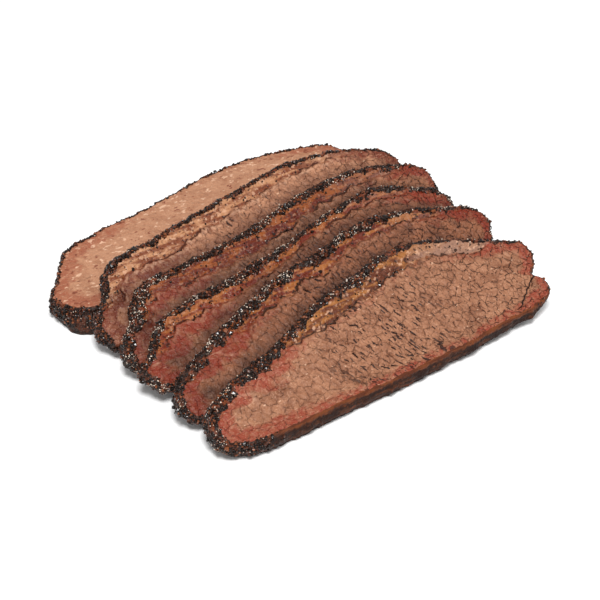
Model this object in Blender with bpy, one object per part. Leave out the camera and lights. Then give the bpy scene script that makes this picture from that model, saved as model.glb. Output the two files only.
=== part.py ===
"""Sliced beef brisket: six thick slices, shingled one on the next as they fell from the knife.

Each slice is a slab cut across the joint. Its outline is a long D: a nearly straight lower edge, a domed
fat-cap edge, a low rounded left end and a blunt right end. On the cut face a craggy crust runs round the
rim, a band of fat lies sunk inside the crust along the dome, and the lean meat stands up inside that.

Frame: metres, +X along the slices, +Y from the front slice to the back one, +Z up, with the floor at Z = 0
and the origin under the middle of the stack.
"""
import math

import bmesh
import bpy
from mathutils import Matrix, Vector, noise

# Driving sizes
LEAN = math.radians(26.0)
GAP = 0.0006
FRONT_DROOP = 0.016
FRONT_DROOP_LEAN = math.radians(5.0)
DROOP_RUN = 0.39 * FRONT_DROOP

# Bands on the cut face, measured inwards from the rim
CRUST_ON_DOME = 0.0048
CRUST_BELOW = 0.0018
FAT_ON_DOME = 0.0085
FAT_BELOW = 0.0006
SHOULDER = 0.0032
FAT_SINK = 0.0014
RIM_ROUND = 0.0014
CRUST_WAVER = 0.35
CRUST_WAVER_SIZE = 0.020
FAT_WAVER = 0.30
FAT_WAVER_SIZE = 0.030
CRUST_CREST = 0.45

# Mesh density
POINTS_ROUND = 80
FACE_STEPS = (0.30, 0.60, 0.88)
BACK_STEPS = (0.45, 0.88)
CURVE_STEPS = 24

# Roughness of the surfaces
CRAG_REACH = 0.0014
CRAG_SIZE = 0.0075
RIM_CRAGS = 0.7
TOP_CRAGS = 0.6
BELT_CRAGS = 0.8
MEAT_SWELL = 0.00035
MEAT_SWELL_SIZE = 0.014
BELT_BULGE = 0.0008
BACK_INSET = 0.0012

# The middle line of a cut face, as shares of its length and depth
SPINE_HALF = 0.40
SPINE_PULL = 0.86
SPINE_HEIGHT = 0.40
SPINE_RISE = 0.06

# Left tip, lower edge and right lobe of a cut face, as shares of its length and depth
LOWER_EDGE = (
    (-0.455, 0.46), (-0.488, 0.37), (-0.500, 0.26), (-0.472, 0.10), (-0.390, 0.01), (-0.210, 0.01),
    (0.000, 0.02), (0.180, 0.05), (0.320, 0.09), (0.405, 0.12), (0.452, 0.17), (0.472, 0.24),
    (0.472, 0.32),
)

# The notch over the lobe and the blunt right end, as shares of the length and of the right shoulder's height
RIGHT_END = ((0.450, 0.53), (0.470, 0.62), (0.481, 0.73), (0.479, 0.84), (0.458, 0.94))

# Where the dome's heights are given, as shares of the length from its right shoulder to its left
DOME_STATIONS = (0.42, 0.31, 0.17, 0.03, -0.12, -0.26, -0.39)

# From front to back: name, thickness, length, middle along X, lift of the left foot, flare, and the
# heights of the dome
SLICES = (
    ("slice_front", 0.0134, 0.232, 0.000, 0.000, 0.000, (0.057, 0.068, 0.077, 0.072, 0.063, 0.051, 0.042)),
    ("slice_second", 0.0095, 0.231, -0.0035, 0.000, 0.000, (0.066, 0.074, 0.079, 0.073, 0.066, 0.056, 0.043)),
    ("slice_third", 0.0095, 0.229, -0.0105, 0.008, 0.000, (0.069, 0.079, 0.076, 0.068, 0.062, 0.058, 0.052)),
    ("slice_fourth", 0.0108, 0.233, -0.0085, 0.000, 0.000, (0.068, 0.075, 0.075, 0.069, 0.062, 0.059, 0.055)),
    ("slice_fifth", 0.0110, 0.229, -0.0135, 0.000, 0.000, (0.067, 0.074, 0.077, 0.072, 0.067, 0.061, 0.056)),
    ("slice_back", 0.0150, 0.229, -0.0215, 0.000, 0.007, (0.072, 0.079, 0.082, 0.078, 0.070, 0.066, 0.059)),
)

SLICE_COLOUR = (0.36, 0.16, 0.10)
SLICE_ROUGHNESS = 0.55


def smoothstep(low, high, value):
    """0 before low, 1 past high, and a smooth ramp between, also where low is the larger."""
    share = min(max((value - low) / (high - low), 0.0), 1.0)
    return share * share * (3.0 - 2.0 * share)


def catmull_rom(before, start, end, after, share):
    """A point between start and end on the smooth curve through four neighbours."""
    square = share * share
    cube = square * share
    return 0.5 * (
        2.0 * start
        + (end - before) * share
        + (2.0 * before - 5.0 * start + 4.0 * end - after) * square
        + (3.0 * start - before - 3.0 * end + after) * cube
    )


def even_loop(corners, count):
    """Evenly spaced points on the closed smooth curve through a few corners."""
    fine = []
    for i in range(len(corners)):
        four = [corners[(i + k) % len(corners)] for k in (-1, 0, 1, 2)]
        fine += [catmull_rom(*four, step / CURVE_STEPS) for step in range(CURVE_STEPS)]
    run = [0.0]
    for i, point in enumerate(fine):
        run.append(run[-1] + (fine[(i + 1) % len(fine)] - point).length)
    even = []
    k = 0
    for i in range(count):
        goal = run[-1] * i / count
        while run[k + 1] < goal:
            k += 1
        share = (goal - run[k]) / (run[k + 1] - run[k])
        even.append(fine[k].lerp(fine[(k + 1) % len(fine)], share))
    return even


def lumps(place, size, seed):
    """Noise between about -1.2 and 1.2 at two scales, different for each seed."""
    spot = place / size + Vector((seed * 7.3, seed * 3.1, seed * 5.7))
    return noise.noise(spot) + 0.5 * noise.noise(spot * 2.1)


def outward_at(loop, i):
    """The direction out of an anticlockwise loop at one of its points."""
    along = (loop[(i + 1) % len(loop)] - loop[i - 1]).normalized()
    return Vector((along.y, -along.x, 0.0))


def slice_rim(length, dome, lift, seed):
    """The rim of a cut face, pushed in and out by its crags."""
    depth = max(dome)
    corners = []
    for along, up in LOWER_EDGE:
        raised = lift * smoothstep(0.10, -0.45, along) * smoothstep(0.40, 0.20, up)
        corners.append(Vector((along * length, up * depth + raised, 0.0)))
    corners += [Vector((along * length, up * dome[0], 0.0)) for along, up in RIGHT_END]
    corners += [Vector((along * length, up, 0.0)) for along, up in zip(DOME_STATIONS, dome)]
    even = even_loop(corners, POINTS_ROUND)
    rim = []
    for i, point in enumerate(even):
        push = RIM_CRAGS * CRAG_REACH * lumps(point, CRAG_SIZE, seed)
        rim.append(point + outward_at(even, i) * push)
    return rim


def spine_point(point, length, depth):
    """The place on the slice's long middle line towards which its rings shrink."""
    half = SPINE_HALF * length
    along = min(max(point.x * SPINE_PULL, -half), half)
    return Vector((along, depth * (SPINE_HEIGHT + SPINE_RISE * along / half), 0.0))


def dome_share(point, length, depth):
    """1 on the rim of the fat cap, 0 along the bottom and at the tips."""
    above = smoothstep(0.34, 0.54, point.y / depth)
    return above * smoothstep(0.49, 0.43, abs(point.x) / length)


def face_loops(rim, length, depth, thickness, seed):
    """Loops from the rim of the cut face inwards, with the relief of crust, fat and meat."""
    loops = [[] for _ in range(5 + len(FACE_STEPS))]
    for point in rim:
        dome = dome_share(point, length, depth)
        inward = spine_point(point, length, depth) - point
        reach = inward.length
        inward.normalize()
        crust = CRUST_BELOW + (CRUST_ON_DOME - CRUST_BELOW) * dome
        crust *= 1.0 + CRUST_WAVER * lumps(point, CRUST_WAVER_SIZE, seed + 1)
        fat = FAT_BELOW + FAT_ON_DOME * dome * (1.0 + FAT_WAVER * lumps(point, FAT_WAVER_SIZE, seed + 2))
        meat = crust + fat + SHOULDER
        insets = [0.0, CRUST_CREST * crust, crust, crust + fat, meat]
        insets += [meat + (reach - meat) * share for share in FACE_STEPS]
        crust_top = (TOP_CRAGS * lumps(point, CRAG_SIZE, seed + 3) + 0.2) * CRAG_REACH * dome
        below = RIM_ROUND * (1.0 - dome)
        heights = [-RIM_ROUND, crust_top - 0.5 * below, -0.5 * FAT_SINK * dome - 0.4 * below,
                   -FAT_SINK * dome - 0.2 * below, 0.0]
        heights += [0.0 for _ in FACE_STEPS]
        for loop, inset, height in zip(loops, insets, heights):
            place = point + inward * inset
            if inset >= meat:
                height += MEAT_SWELL * lumps(place, MEAT_SWELL_SIZE, seed + 4)
            loop.append(Vector((place.x, place.y, thickness + height)))
    return loops


def side_loops(rim, thickness, flare, seed):
    """The back edge of the slab and the craggy belt half way up its bark.

    A flare pushes both further out along the front of the slab.
    """
    back = []
    belt = []
    for i, point in enumerate(rim):
        outward = outward_at(rim, i)
        middle = Vector((point.x, point.y, 0.5 * thickness))
        spread = flare * smoothstep(0.2, 0.9, -outward.y)
        crags = BELT_CRAGS * CRAG_REACH * lumps(middle, CRAG_SIZE, seed + 5)
        bulge = BELT_BULGE + 0.5 * spread + crags
        belt.append(middle + outward * bulge)
        back.append(point + outward * (spread - BACK_INSET))
    return back, belt


def back_loops(back, length, depth):
    """Loops on the flat back face, from near its spine out to its edge."""
    loops = []
    for share in reversed(BACK_STEPS):
        loops.append([point.lerp(spine_point(point, length, depth), share) for point in back])
    loops.append(back)
    return loops


def lean_place(point, foot, droop, lean):
    """Leans a point of a slab back from its foot, with the front slice's foot bent flat to the floor."""
    bent = min(max(point.y, 0.0), droop)
    angle = lean
    y = 0.0
    z = 0.0
    if droop > 0.0:
        radius = droop / (lean - FRONT_DROOP_LEAN)
        angle = FRONT_DROOP_LEAN + bent / radius
        y = radius * (math.sin(angle) - math.sin(FRONT_DROOP_LEAN))
        z = radius * (math.cos(FRONT_DROOP_LEAN) - math.cos(angle))
    else:
        y = -BACK_INSET * math.cos(lean)
        z = -BACK_INSET * math.sin(lean)
    rest = point.y - bent
    y += rest * math.cos(angle) - point.z * math.sin(angle)
    z += rest * math.sin(angle) + point.z * math.cos(angle)
    return Vector((point.x, foot + y, max(z, 0.0)))


def loft(mesh, loops):
    """Quads between neighbouring loops, with a face over the first and the last."""
    rings = [[mesh.verts.new(point) for point in loop] for loop in loops]
    for lower, upper in zip(rings, rings[1:]):
        for i in range(len(lower)):
            k = (i + 1) % len(lower)
            mesh.faces.new((lower[i], lower[k], upper[k], upper[i]))
    mesh.faces.new(list(reversed(rings[0])))
    mesh.faces.new(rings[-1])


def make_material(name, colour, roughness):
    """A plain Principled finish."""
    material = bpy.data.materials.new(name)
    material.use_nodes = True
    shader = material.node_tree.nodes["Principled BSDF"]
    shader.inputs["Base Color"].default_value = (*colour, 1.0)
    shader.inputs["Roughness"].default_value = roughness
    shader.inputs["Metallic"].default_value = 0.0
    material.diffuse_color = (*colour, 1.0)
    return material


def make_slice(place, foot, lean, droop):
    """One slice as a single closed solid, set down in the stack."""
    name, thickness, length, middle, lift, flare, dome = SLICES[place]
    seed = 10.0 * (place + 1)
    depth = max(dome)
    rim = slice_rim(length, dome, lift, seed)
    back, belt = side_loops(rim, thickness, flare, seed)
    face = face_loops(rim, length, depth, thickness, seed)
    loops = back_loops(back, length, depth) + [belt] + face
    mesh = bmesh.new()
    loft(mesh, loops)
    for vert in mesh.verts:
        vert.co = lean_place(vert.co, foot, droop, lean)
        vert.co.x += middle
    bmesh.ops.triangulate(mesh, faces=mesh.faces[:], quad_method="BEAUTY", ngon_method="BEAUTY")
    bmesh.ops.recalc_face_normals(mesh, faces=mesh.faces[:])
    data = bpy.data.meshes.new(name)
    mesh.to_mesh(data)
    mesh.free()
    data.materials.append(make_material(name, SLICE_COLOUR, SLICE_ROUGHNESS))
    data.shade_smooth()
    data.set_sharp_from_angle(angle=math.radians(40.0))
    slice_object = bpy.data.objects.new(name, data)
    bpy.context.scene.collection.objects.link(slice_object)


def make_stack():
    """All the slices: five lean, each on the one behind it, and the back one lies flat."""
    last = len(SLICES) - 1
    make_slice(0, -DROOP_RUN, LEAN, FRONT_DROOP)
    foot = 0.0
    for place in range(1, last):
        foot += (SLICES[place][1] + GAP) / math.sin(LEAN)
        make_slice(place, foot, LEAN, 0.0)
    foot += (SLICES[last][1] + GAP) / math.tan(LEAN) + CRAG_REACH
    make_slice(last, foot, 0.0, 0.0)


def centre_on_floor(pieces):
    """Moves the meshes so that the origin is under the middle of the box round them all."""
    points = [vert.co for piece in pieces for vert in piece.data.vertices]
    low = Vector([min(point[axis] for point in points) for axis in range(3)])
    high = Vector([max(point[axis] for point in points) for axis in range(3)])
    shift = Vector((-0.5 * (low.x + high.x), -0.5 * (low.y + high.y), -low.z))
    for piece in pieces:
        piece.data.transform(Matrix.Translation(shift))


def main():
    for old in list(bpy.data.objects):
        bpy.data.objects.remove(old, do_unlink=True)
    make_stack()
    centre_on_floor(list(bpy.data.objects))


main()
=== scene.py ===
# %% [markdown]
# # Sliced beef brisket
#
# Six slices of smoked brisket lie shingled, as they fell from the knife. Five lean, each on the one
# behind it, and the last lies flat. Each slice is a slab with two cut faces. Round the rim of a cut face
# runs the bark, black and brown, crusted with cracked pepper. Inside it, along the domed side, lies a
# band of golden fat, and inside that the lean meat stands up a little, pink near its edge where the smoke
# got in.
#
# The CAD part gives the place, the outline and the thickness of each slice. This script grows a finer
# slab on the same outline, so that crags, fat step, fibre bundles and slits are real relief, then paints
# it and scatters cracked pepper on the bark.

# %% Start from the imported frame
import bisect
import math
import random
from collections import namedtuple

import bmesh
import bpy
from mathutils import Matrix, Vector, noise


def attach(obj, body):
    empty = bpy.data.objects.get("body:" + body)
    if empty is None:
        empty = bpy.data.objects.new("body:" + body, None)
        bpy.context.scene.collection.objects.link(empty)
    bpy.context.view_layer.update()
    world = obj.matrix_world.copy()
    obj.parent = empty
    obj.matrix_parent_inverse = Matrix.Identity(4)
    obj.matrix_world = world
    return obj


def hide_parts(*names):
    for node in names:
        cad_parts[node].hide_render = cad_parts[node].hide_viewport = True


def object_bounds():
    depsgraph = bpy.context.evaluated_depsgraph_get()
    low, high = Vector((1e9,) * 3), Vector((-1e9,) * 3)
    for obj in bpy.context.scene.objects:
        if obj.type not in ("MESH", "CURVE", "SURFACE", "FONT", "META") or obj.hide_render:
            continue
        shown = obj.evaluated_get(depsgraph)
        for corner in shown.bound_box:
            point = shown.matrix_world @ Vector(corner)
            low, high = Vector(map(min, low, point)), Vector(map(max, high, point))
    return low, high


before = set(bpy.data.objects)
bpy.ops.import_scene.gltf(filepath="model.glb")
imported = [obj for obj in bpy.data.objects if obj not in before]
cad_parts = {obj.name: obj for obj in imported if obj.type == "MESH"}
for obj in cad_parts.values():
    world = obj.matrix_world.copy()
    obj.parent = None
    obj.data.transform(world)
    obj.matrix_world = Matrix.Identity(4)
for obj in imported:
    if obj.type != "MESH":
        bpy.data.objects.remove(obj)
cad_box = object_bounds()
print("CAD nodes:", sorted(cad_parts))

# %% [markdown]
# ## Sizes of the stack
#
# Each slab has its own frame: U along the slice, V up its cut face from foot to dome, and W through its
# thickness, with the cut face in front. The stack is leant and set down afterwards, so all the modelling
# is done on a slab that lies flat.

# %% Sizes that the CAD part uses too
MM = 0.001
LEAN = math.radians(26.0)
GAP = 0.6 * MM
FRONT_DROOP = 16 * MM
FRONT_DROOP_LEAN = math.radians(5.0)
DROOP_RUN = 0.39 * FRONT_DROOP
CRUST_BELOW = 1.8 * MM
FAT_BELOW = 0.6 * MM
SHOULDER = 3.2 * MM
FAT_SINK = 1.4 * MM
RIM_ROUND = 1.4 * MM
CRAG_REACH = 1.4 * MM
CRAG_SIZE = 7.5 * MM
BELT_BULGE = 0.8 * MM
BACK_INSET = 1.2 * MM
STACK_SHIFT = Vector((0.01238, -0.10316, 0.0))

# Left tip, lower edge and right lobe of a cut face, as shares of its length and depth
LOWER_EDGE = (
    (-0.455, 0.46), (-0.488, 0.37), (-0.500, 0.26), (-0.472, 0.10), (-0.390, 0.01), (-0.210, 0.01),
    (0.000, 0.02), (0.180, 0.05), (0.320, 0.09), (0.405, 0.12), (0.452, 0.17), (0.472, 0.24),
    (0.472, 0.32),
)

# The notch over the lobe and the blunt right end, as shares of the length and the right shoulder's height
RIGHT_END = ((0.450, 0.53), (0.470, 0.62), (0.481, 0.73), (0.479, 0.84), (0.458, 0.94))

# Where the dome's heights and the widths of its bands are given, as shares of the length, right to left
STATIONS = (0.42, 0.31, 0.17, 0.03, -0.12, -0.26, -0.39)

# Sizes are in millimetres. Seed picks the noise, middle is the shift to the right, lift raises the left end
# of the lower edge and flare spreads the foot. Dome, crust, fat and pepper are given at the stations: heights,
# widths of the two bands, and shares. Cracks and ridge are shares too.
Slice = namedtuple(
    "Slice", "name seed thickness length middle lift flare dome crust fat pepper cracks ridge"
)
SLICES = (
    Slice("front", 10.0, 13.4, 232, 0.0, 0, 0, (57, 68, 77, 72, 63, 51, 42),
          crust=(1.9, 1.4, 3.4, 4.4, 3.4, 4.8, 7.8), fat=(0.4, 8.0, 9.0, 9.0, 9.0, 2.0, 0.4),
          pepper=(0.6, 0.4, 0.6, 1.0, 0.9, 1.0, 1.0), cracks=1.0, ridge=0.1),
    Slice("second", 20.0, 9.5, 231, -3.5, 0, 0, (66, 74, 79, 73, 66, 56, 43),
          crust=(1.8, 2.2, 4.6, 5.6, 4.4, 5.0, 6.4), fat=(0.6, 4.0, 5.5, 5.5, 6.5, 3.0, 0.8),
          pepper=(0.8, 0.7, 1.0, 1.0, 1.0, 1.0, 0.9), cracks=1.0, ridge=0.25),
    Slice("third", 30.0, 9.5, 229, -10.5, 8, 0, (69, 79, 76, 68, 62, 58, 52),
          crust=(4.0, 3.6, 2.8, 3.0, 3.8, 4.0, 2.8), fat=(0.6, 4.5, 3.4, 3.4, 5.5, 6.5, 5.0),
          pepper=(0.9, 0.8, 0.7, 0.7, 0.9, 0.9, 0.9), cracks=0.95, ridge=0.35),
    Slice("fourth", 40.0, 10.8, 233, -8.5, 0, 0, (68, 75, 75, 69, 62, 59, 55),
          crust=(2.5, 3.0, 4.0, 3.6, 3.4, 3.4, 7.0), fat=(1.0, 6.0, 8.0, 9.0, 9.5, 9.0, 3.0),
          pepper=(1.0, 1.0, 1.0, 1.0, 1.0, 1.0, 1.0), cracks=0.9, ridge=0.5),
    Slice("fifth", 50.0, 11.0, 229, -13.5, 0, 0, (67, 74, 77, 72, 67, 61, 56),
          crust=(1.6, 1.7, 1.9, 1.8, 2.2, 2.5, 3.0), fat=(1.0, 3.0, 6.0, 7.5, 9.0, 10.0, 8.0),
          pepper=(0.6, 0.7, 0.8, 0.7, 0.8, 0.9, 1.0), cracks=0.75, ridge=1.0),
    Slice("back", 60.0, 15.0, 229, -21.5, 0, 7, (72, 79, 82, 78, 70, 66, 59),
          crust=(1.4, 1.4, 1.3, 1.3, 1.2, 1.3, 1.6), fat=(0.2, 0.2, 0.2, 0.2, 0.2, 0.2, 0.2),
          pepper=(0.7, 0.7, 0.6, 0.6, 0.6, 0.6, 0.8), cracks=0.05, ridge=0.15),
)

# How finely the slabs are divided: the front slice shows its whole face, the others a strip of it
ROUND_FRONT = 940
ROUND_BEHIND = 800
FACE_RINGS_FRONT = 78
FACE_RINGS_BEHIND = 62
SIDE_RINGS = 16
CURVE_STEPS = 90
print(len(SLICES), "slices,", round(math.degrees(LEAN)), "degrees of lean")


# %% [markdown]
# ## The outline of a cut face
#
# A slice of brisket is a long D: almost straight below, where the knife trimmed it, and domed above,
# where the fat cap was. The outline is a smooth closed curve through a few corners. Even points on it are
# pushed in and out by noise, because bark cracks and curls as it cooks.

# %% Smooth outlines
def smoothstep(low, high, value):
    """0 before low, 1 past high, and a smooth ramp between, also where low is the larger."""
    share = min(max((value - low) / (high - low), 0.0), 1.0)
    return share * share * (3.0 - 2.0 * share)


def mix(start, end, share):
    return start + (end - start) * share


def along_stations(values, share):
    """A value given at the dome's stations, read smoothly at any share of the length."""
    places = STATIONS[::-1]
    values = values[::-1]
    k = min(max(bisect.bisect_left(places, share), 1), len(places) - 1)
    return mix(values[k - 1], values[k], smoothstep(places[k - 1], places[k], share))


def catmull_rom(before, start, end, after, share):
    """A point between start and end on the smooth curve through four neighbours."""
    square = share * share
    cube = square * share
    return 0.5 * (
        2.0 * start
        + (end - before) * share
        + (2.0 * before - 5.0 * start + 4.0 * end - after) * square
        + (3.0 * start - before - 3.0 * end + after) * cube
    )


def loop_points(corners, count, crowding):
    """Points on the closed smooth curve through the corners, closer where crowding(point) is larger."""
    fine = []
    for i in range(len(corners)):
        four = [corners[(i + k) % len(corners)] for k in (-1, 0, 1, 2)]
        fine += [catmull_rom(*four, step / CURVE_STEPS) for step in range(CURVE_STEPS)]
    run = [0.0]
    for i, point in enumerate(fine):
        step = fine[(i + 1) % len(fine)] - point
        run.append(run[-1] + step.length * crowding(point))
    points = []
    k = 0
    for i in range(count):
        goal = run[-1] * i / count
        while run[k + 1] < goal:
            k += 1
        share = (goal - run[k]) / (run[k + 1] - run[k])
        points.append(fine[k].lerp(fine[(k + 1) % len(fine)], share))
    return points


def lumps(place, size, seed):
    """Noise between about -1.2 and 1.2 at two scales, different for each seed."""
    spot = place / size + Vector((seed * 7.3, seed * 3.1, seed * 5.7))
    return noise.noise(spot) + 0.5 * noise.noise(spot * 2.1)


# %% The rim of one slice
SPIKE_REACH = 1.6 * MM
SPIKE_SIZE = 3.4 * MM
THINNEST_CRUST = 0.35
SPINE_HEIGHT = 0.40

Spot = namedtuple("Spot", "point outward inward reach dome crust fat pepper lower")


def slice_rim(slab, count):
    """The points of a slice's rim, each with its directions and the widths of the bands there."""
    length = slab.length * MM
    depth = max(slab.dome) * MM
    corners = []
    for along, up in LOWER_EDGE:
        raised = slab.lift * MM * smoothstep(0.10, -0.45, along) * smoothstep(0.40, 0.20, up)
        corners.append(Vector((along * length, up * depth + raised, 0.0)))
    shoulder = slab.dome[0] * MM
    corners += [Vector((along * length, up * shoulder, 0.0)) for along, up in RIGHT_END]
    corners += [Vector((along * length, up * MM, 0.0)) for along, up in zip(STATIONS, slab.dome)]
    hidden = 1.0 if slab.name == "front" else 0.3

    def crowding(point):
        return mix(hidden, 1.0, smoothstep(0.25, 0.45, point.y / depth + max(0.0, -point.x / length - 0.3)))

    even = loop_points(corners, count, crowding)
    rim = []
    for i, point in enumerate(even):
        along = (even[(i + 1) % count] - even[i - 1]).normalized()
        outward = Vector((along.y, -along.x, 0.0))
        push = 0.7 * CRAG_REACH * lumps(point, CRAG_SIZE, slab.seed)
        spikes = abs(lumps(point, SPIKE_SIZE, slab.seed + 0.5))
        spiky = smoothstep(-0.3, 0.6, lumps(point, 11 * MM, slab.seed + 27) + 0.3)
        push += SPIKE_REACH * spikes * spiky - 0.4 * MM
        point = point + outward * push
        half = 0.40 * length
        middle = min(max(point.x * 0.86, -half), half)
        spine = Vector((middle, depth * (SPINE_HEIGHT + 0.06 * middle / half), 0.0))
        share = point.x / length
        dome = smoothstep(0.34, 0.54, point.y / depth) * smoothstep(0.49, 0.43, abs(share))
        wobble = 1.0 + 0.24 * lumps(point, 5 * MM, slab.seed + 1)
        wobble = max(wobble + 0.60 * lumps(point, 11 * MM, slab.seed + 28), THINNEST_CRUST)
        tip = smoothstep(-0.30, -0.42, share)
        upper = max(dome, tip * smoothstep(0.08, 0.30, point.y / depth))
        crust = mix(CRUST_BELOW, along_stations(slab.crust, share) * MM, upper) * wobble
        fat = mix(FAT_BELOW, along_stations(slab.fat, share) * MM, dome)
        fat *= 1.0 + 0.25 * lumps(point, 9 * MM, slab.seed + 2)
        blunt = smoothstep(0.36, 0.45, share)
        pepper = along_stations(slab.pepper, share) * max(dome, 0.9 * tip, 0.7 * blunt)
        reach = (spine - point).length
        lower = smoothstep(0.2, 0.7, -outward.y) * smoothstep(-0.43, -0.30, share)
        inward = (spine - point).normalized()
        rim.append(Spot(point, outward, inward, reach, dome, crust, fat, pepper, lower))
    return rim


print("front rim:", len(slice_rim(SLICES[0], ROUND_FRONT)), "points")

# %% [markdown]
# ## Relief of the cut face
#
# Beef is bundles of fibres, and a knife across them leaves a net of cells. As the slice dries, the
# bundles part: at the right they are many-sided scales with thin cracks between, in the middle short
# slits gape that all lean one way, and at the left end the bundles are soft and almost closed. A Voronoi
# pattern has such a net of walls. One pattern of round cells and one of long cells take turns along the
# slice, and a wall gapes the more, the more it runs along the lean of the slits.

# %% Walls between bundles of fibres
SLIT_TURN = math.radians(-62.0)
SLIT_WIDTH = 0.62 * MM
GRAIN_RELIEF = 0.42 * MM

Wall = namedtuple("Wall", "away openness middle chance cell")


def fibre_wall(place, size, stretch, seed):
    """The wall between two bundles that is nearest to a place, and where on it the place is."""
    warp = 0.8 * MM * Vector((lumps(place, 5 * MM, seed + 6), lumps(place, 5 * MM, seed + 7), 0.0))
    turned = Matrix.Rotation(-SLIT_TURN, 2) @ (place + warp).to_2d()
    spot = Vector((turned.x / (size * stretch), turned.y / size, seed * 0.37))
    distances, points = noise.voronoi(spot)
    apart = points[1] - points[0]
    gap = max(apart.length, 1e-6)
    away = (distances[1] ** 2 - distances[0] ** 2) / (2.0 * gap) * size
    middle = smoothstep(0.02, 0.30, distances[2] - distances[1])
    chance = noise.cell((points[0] + points[1]) * 17.0)
    return Wall(away, abs(apart.y) / gap, middle, chance, noise.cell(points[0] * 13.0))


def meat_grain(slab, place):
    """Cracks, relief and tone of the lean meat at one place on the cut face."""
    seed = slab.seed
    share = place.x / (slab.length * MM)
    left = smoothstep(-0.08, -0.24, share)
    right = smoothstep(0.08, 0.24, share)
    between = 1.0 - left - right
    crack = 0.0
    height = 0.0
    scales = fibre_wall(place, mix(5.0, 6.0, left) * MM, 1.15, seed)
    tone = scales.cell
    if between < 0.99:
        line = smoothstep(0.46 * MM, 0.10 * MM, scales.away)
        line *= smoothstep(-0.1, 0.6, lumps(place, 7 * MM, seed + 11))
        crack = max(crack, line * (0.50 * right + 0.30 * left) * scales.middle)
        height += GRAIN_RELIEF * smoothstep(0.0, 2.2 * MM, scales.away) * (right + left)
    if between > 0.01:
        slit = fibre_wall(place, 2.9 * MM, 1.75, seed + 0.5)
        gaping = smoothstep(-0.7, 0.5, slit.chance + 0.8 * lumps(place, 16 * MM, seed + 11))
        width = SLIT_WIDTH * slit.openness ** 2 * slit.middle * gaping
        parted = smoothstep(0.05 * MM, 0.25 * MM, width)
        gape = smoothstep(width + 0.24 * MM, 0.4 * width, slit.away) * parted
        crack = max(crack, between * gape)
        height += between * GRAIN_RELIEF * smoothstep(0.0, 1.5 * MM, slit.away)
        tone = mix(tone, slit.cell, between)
    crack *= slab.cracks
    return crack, height * mix(0.5, 1.0, slab.cracks) - 0.8 * MM * crack ** 1.5, tone


print("widest slit:", SLIT_WIDTH / MM, "mm")

# %% [markdown]
# ## Crevice and cleft
#
# Meat is painted darker where it goes under the slice in front of it: a painted shade for the crevice
# that lies out of the light. That band could be painted by hand, but it is worked out from the rim of the
# nearer slice, so it follows the rim. The front slice's lean and its right lobe are two muscles, and a
# cleft runs between them, down from the notch. It is a short line from two points, bent by noise and
# pressed into the relief.

# %% Painted shade under the nearer slice
CREVICE_REACH = 14 * MM


def shade_under_nearer(slab, place):
    """Painted shade: 1 where a cut face goes under the slice in front of it, fading to 0 above."""
    if slab.name in ("front", "back"):
        return 0.0
    nearer = SLICES[SLICES.index(slab) - 1]
    share = (place.x + (slab.middle - nearer.middle) * MM) / (nearer.length * MM)
    rim = along_stations(nearer.dome, share) * MM - (slab.thickness * MM + GAP) / math.tan(LEAN)
    if nearer.name == "front":
        rim -= DROOP_RUN
    reach = CREVICE_REACH + 2 * MM * lumps(place, 9 * MM, slab.seed + 32)
    return smoothstep(reach, 4 * MM, place.y - rim) * smoothstep(0.50, 0.42, abs(share))


# %% The cleft under the notch
CLEFT_TOP = Vector((104 * MM, 29 * MM))
CLEFT_FOOT = Vector((82 * MM, 13 * MM))
print("cleft:", round((CLEFT_TOP - CLEFT_FOOT).length / MM), "mm long")


def cleft(place, seed):
    """How deep a place lies in the cleft between the lean and the lobe at the right, 0 to 1."""
    warp = 1.4 * MM * lumps(place, 6 * MM, seed + 30)
    spot = place.to_2d() + Vector((warp, -warp))
    run = CLEFT_FOOT - CLEFT_TOP
    share = min(max((spot - CLEFT_TOP).dot(run) / run.length_squared, 0.0), 1.0)
    away = (spot - CLEFT_TOP - run * share).length
    return smoothstep(mix(1.0, 0.5, share) * MM, 0.2 * MM, away)


# %% [markdown]
# ## Bands of the cut face
#
# From the rim inwards a cut face has bark, then fat, then lean meat with a pink smoke ring that fades.
# Each place knows how far in it lies, so the widths that the rim carries turn into relief and into shares
# of each band. The relief is real, because the sunk fat and the gaping slits catch the light, and the
# shares go along for the paint.

# %% Lean meat at one place
RING_REACH = 4.6
RING_REACH_LEFT = 11.0
RING_REACH_RIGHT = 6.5

Meat = namedtuple("Meat", "height crack pale ring tone")


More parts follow.
